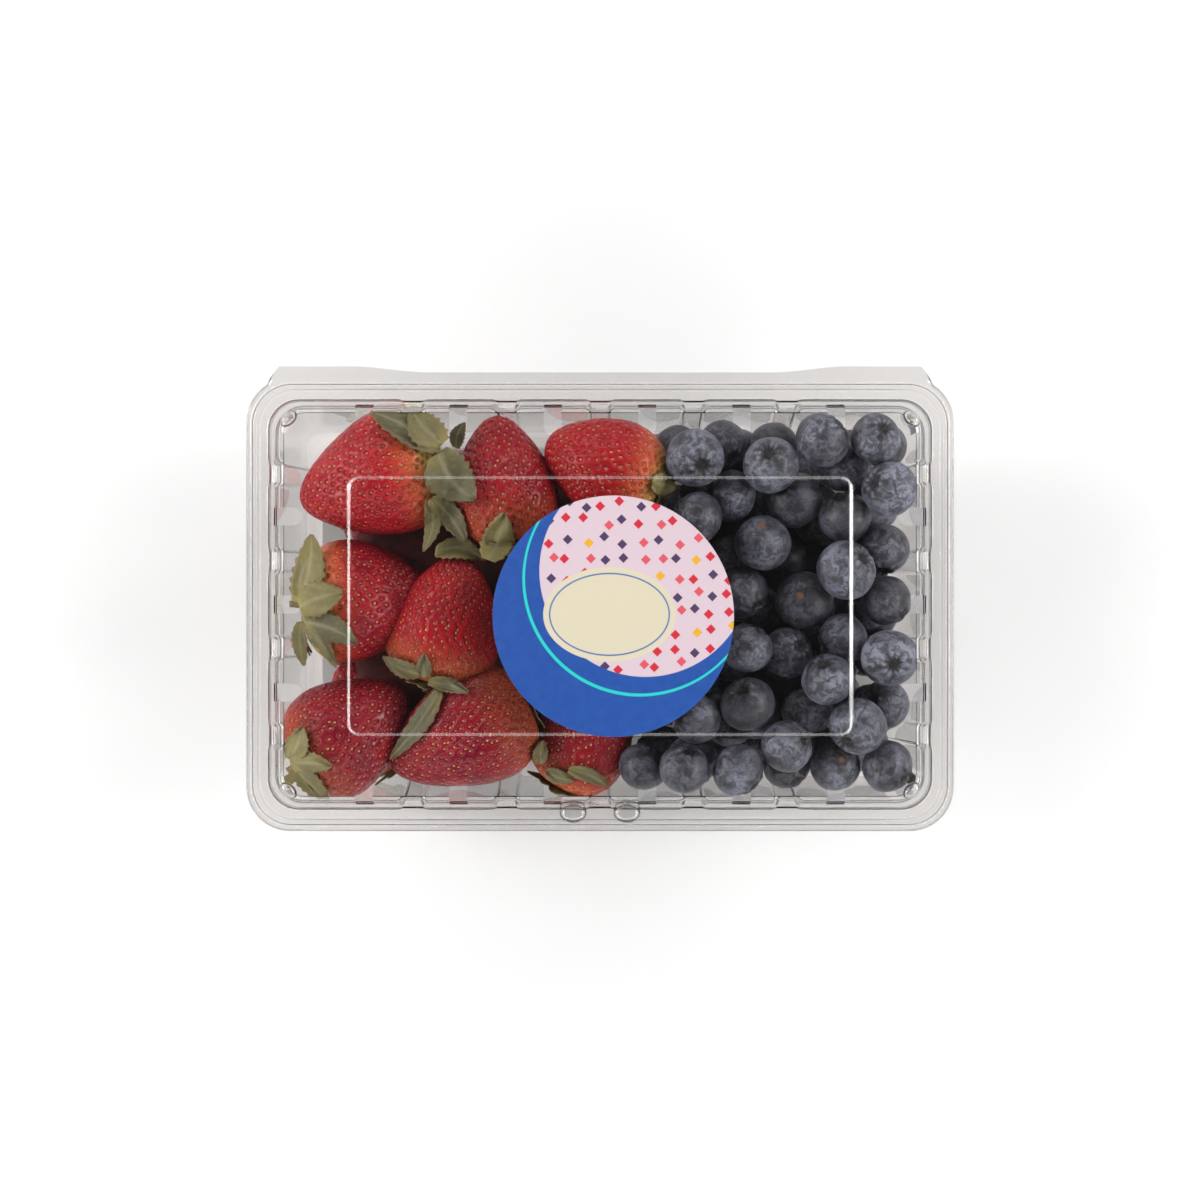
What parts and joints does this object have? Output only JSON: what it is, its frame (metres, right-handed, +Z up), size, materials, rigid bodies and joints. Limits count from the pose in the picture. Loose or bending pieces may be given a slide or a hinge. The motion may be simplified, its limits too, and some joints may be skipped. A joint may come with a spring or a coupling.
{
  "type": "punnet of mixed berries",
  "caption": "Clear hinged clamshell punnet, shut, with strawberries on its left, blueberries on its right and a round paper label on the lid.",
  "frame": {"origin": "on the surface the punnet stands on, under the middle of its whole outline", "axes": "+X to the punnet's right, where the blueberries are, +Y to the hinge side, +Z up"},
  "size_m": [0.19, 0.1248, 0.064],
  "materials": {
    "clear_plastic": "thin clear thermoformed plastic, glossy",
    "label_paper": "coated paper sticker with a soft gloss",
    "strawberry": "fresh strawberry skin, glossy, with seeds and green crowns",
    "blueberry": "fresh blueberry skin with a pale waxy bloom"
  },
  "bodies": {
    "tray": {"tray": "clear_plastic", "strawberries": "strawberry", "blueberries": "blueberry"},
    "lid": {"lid": "clear_plastic", "label": "label_paper"}
  },
  "joints": [
    {"name": "lid_hinge", "type": "hinge", "parent": "tray", "child": "lid", "pos_m": [0, 0.0624, 0.05015], "axis": [-1, 0, 0], "range_deg": [0, 180]}
  ]
}
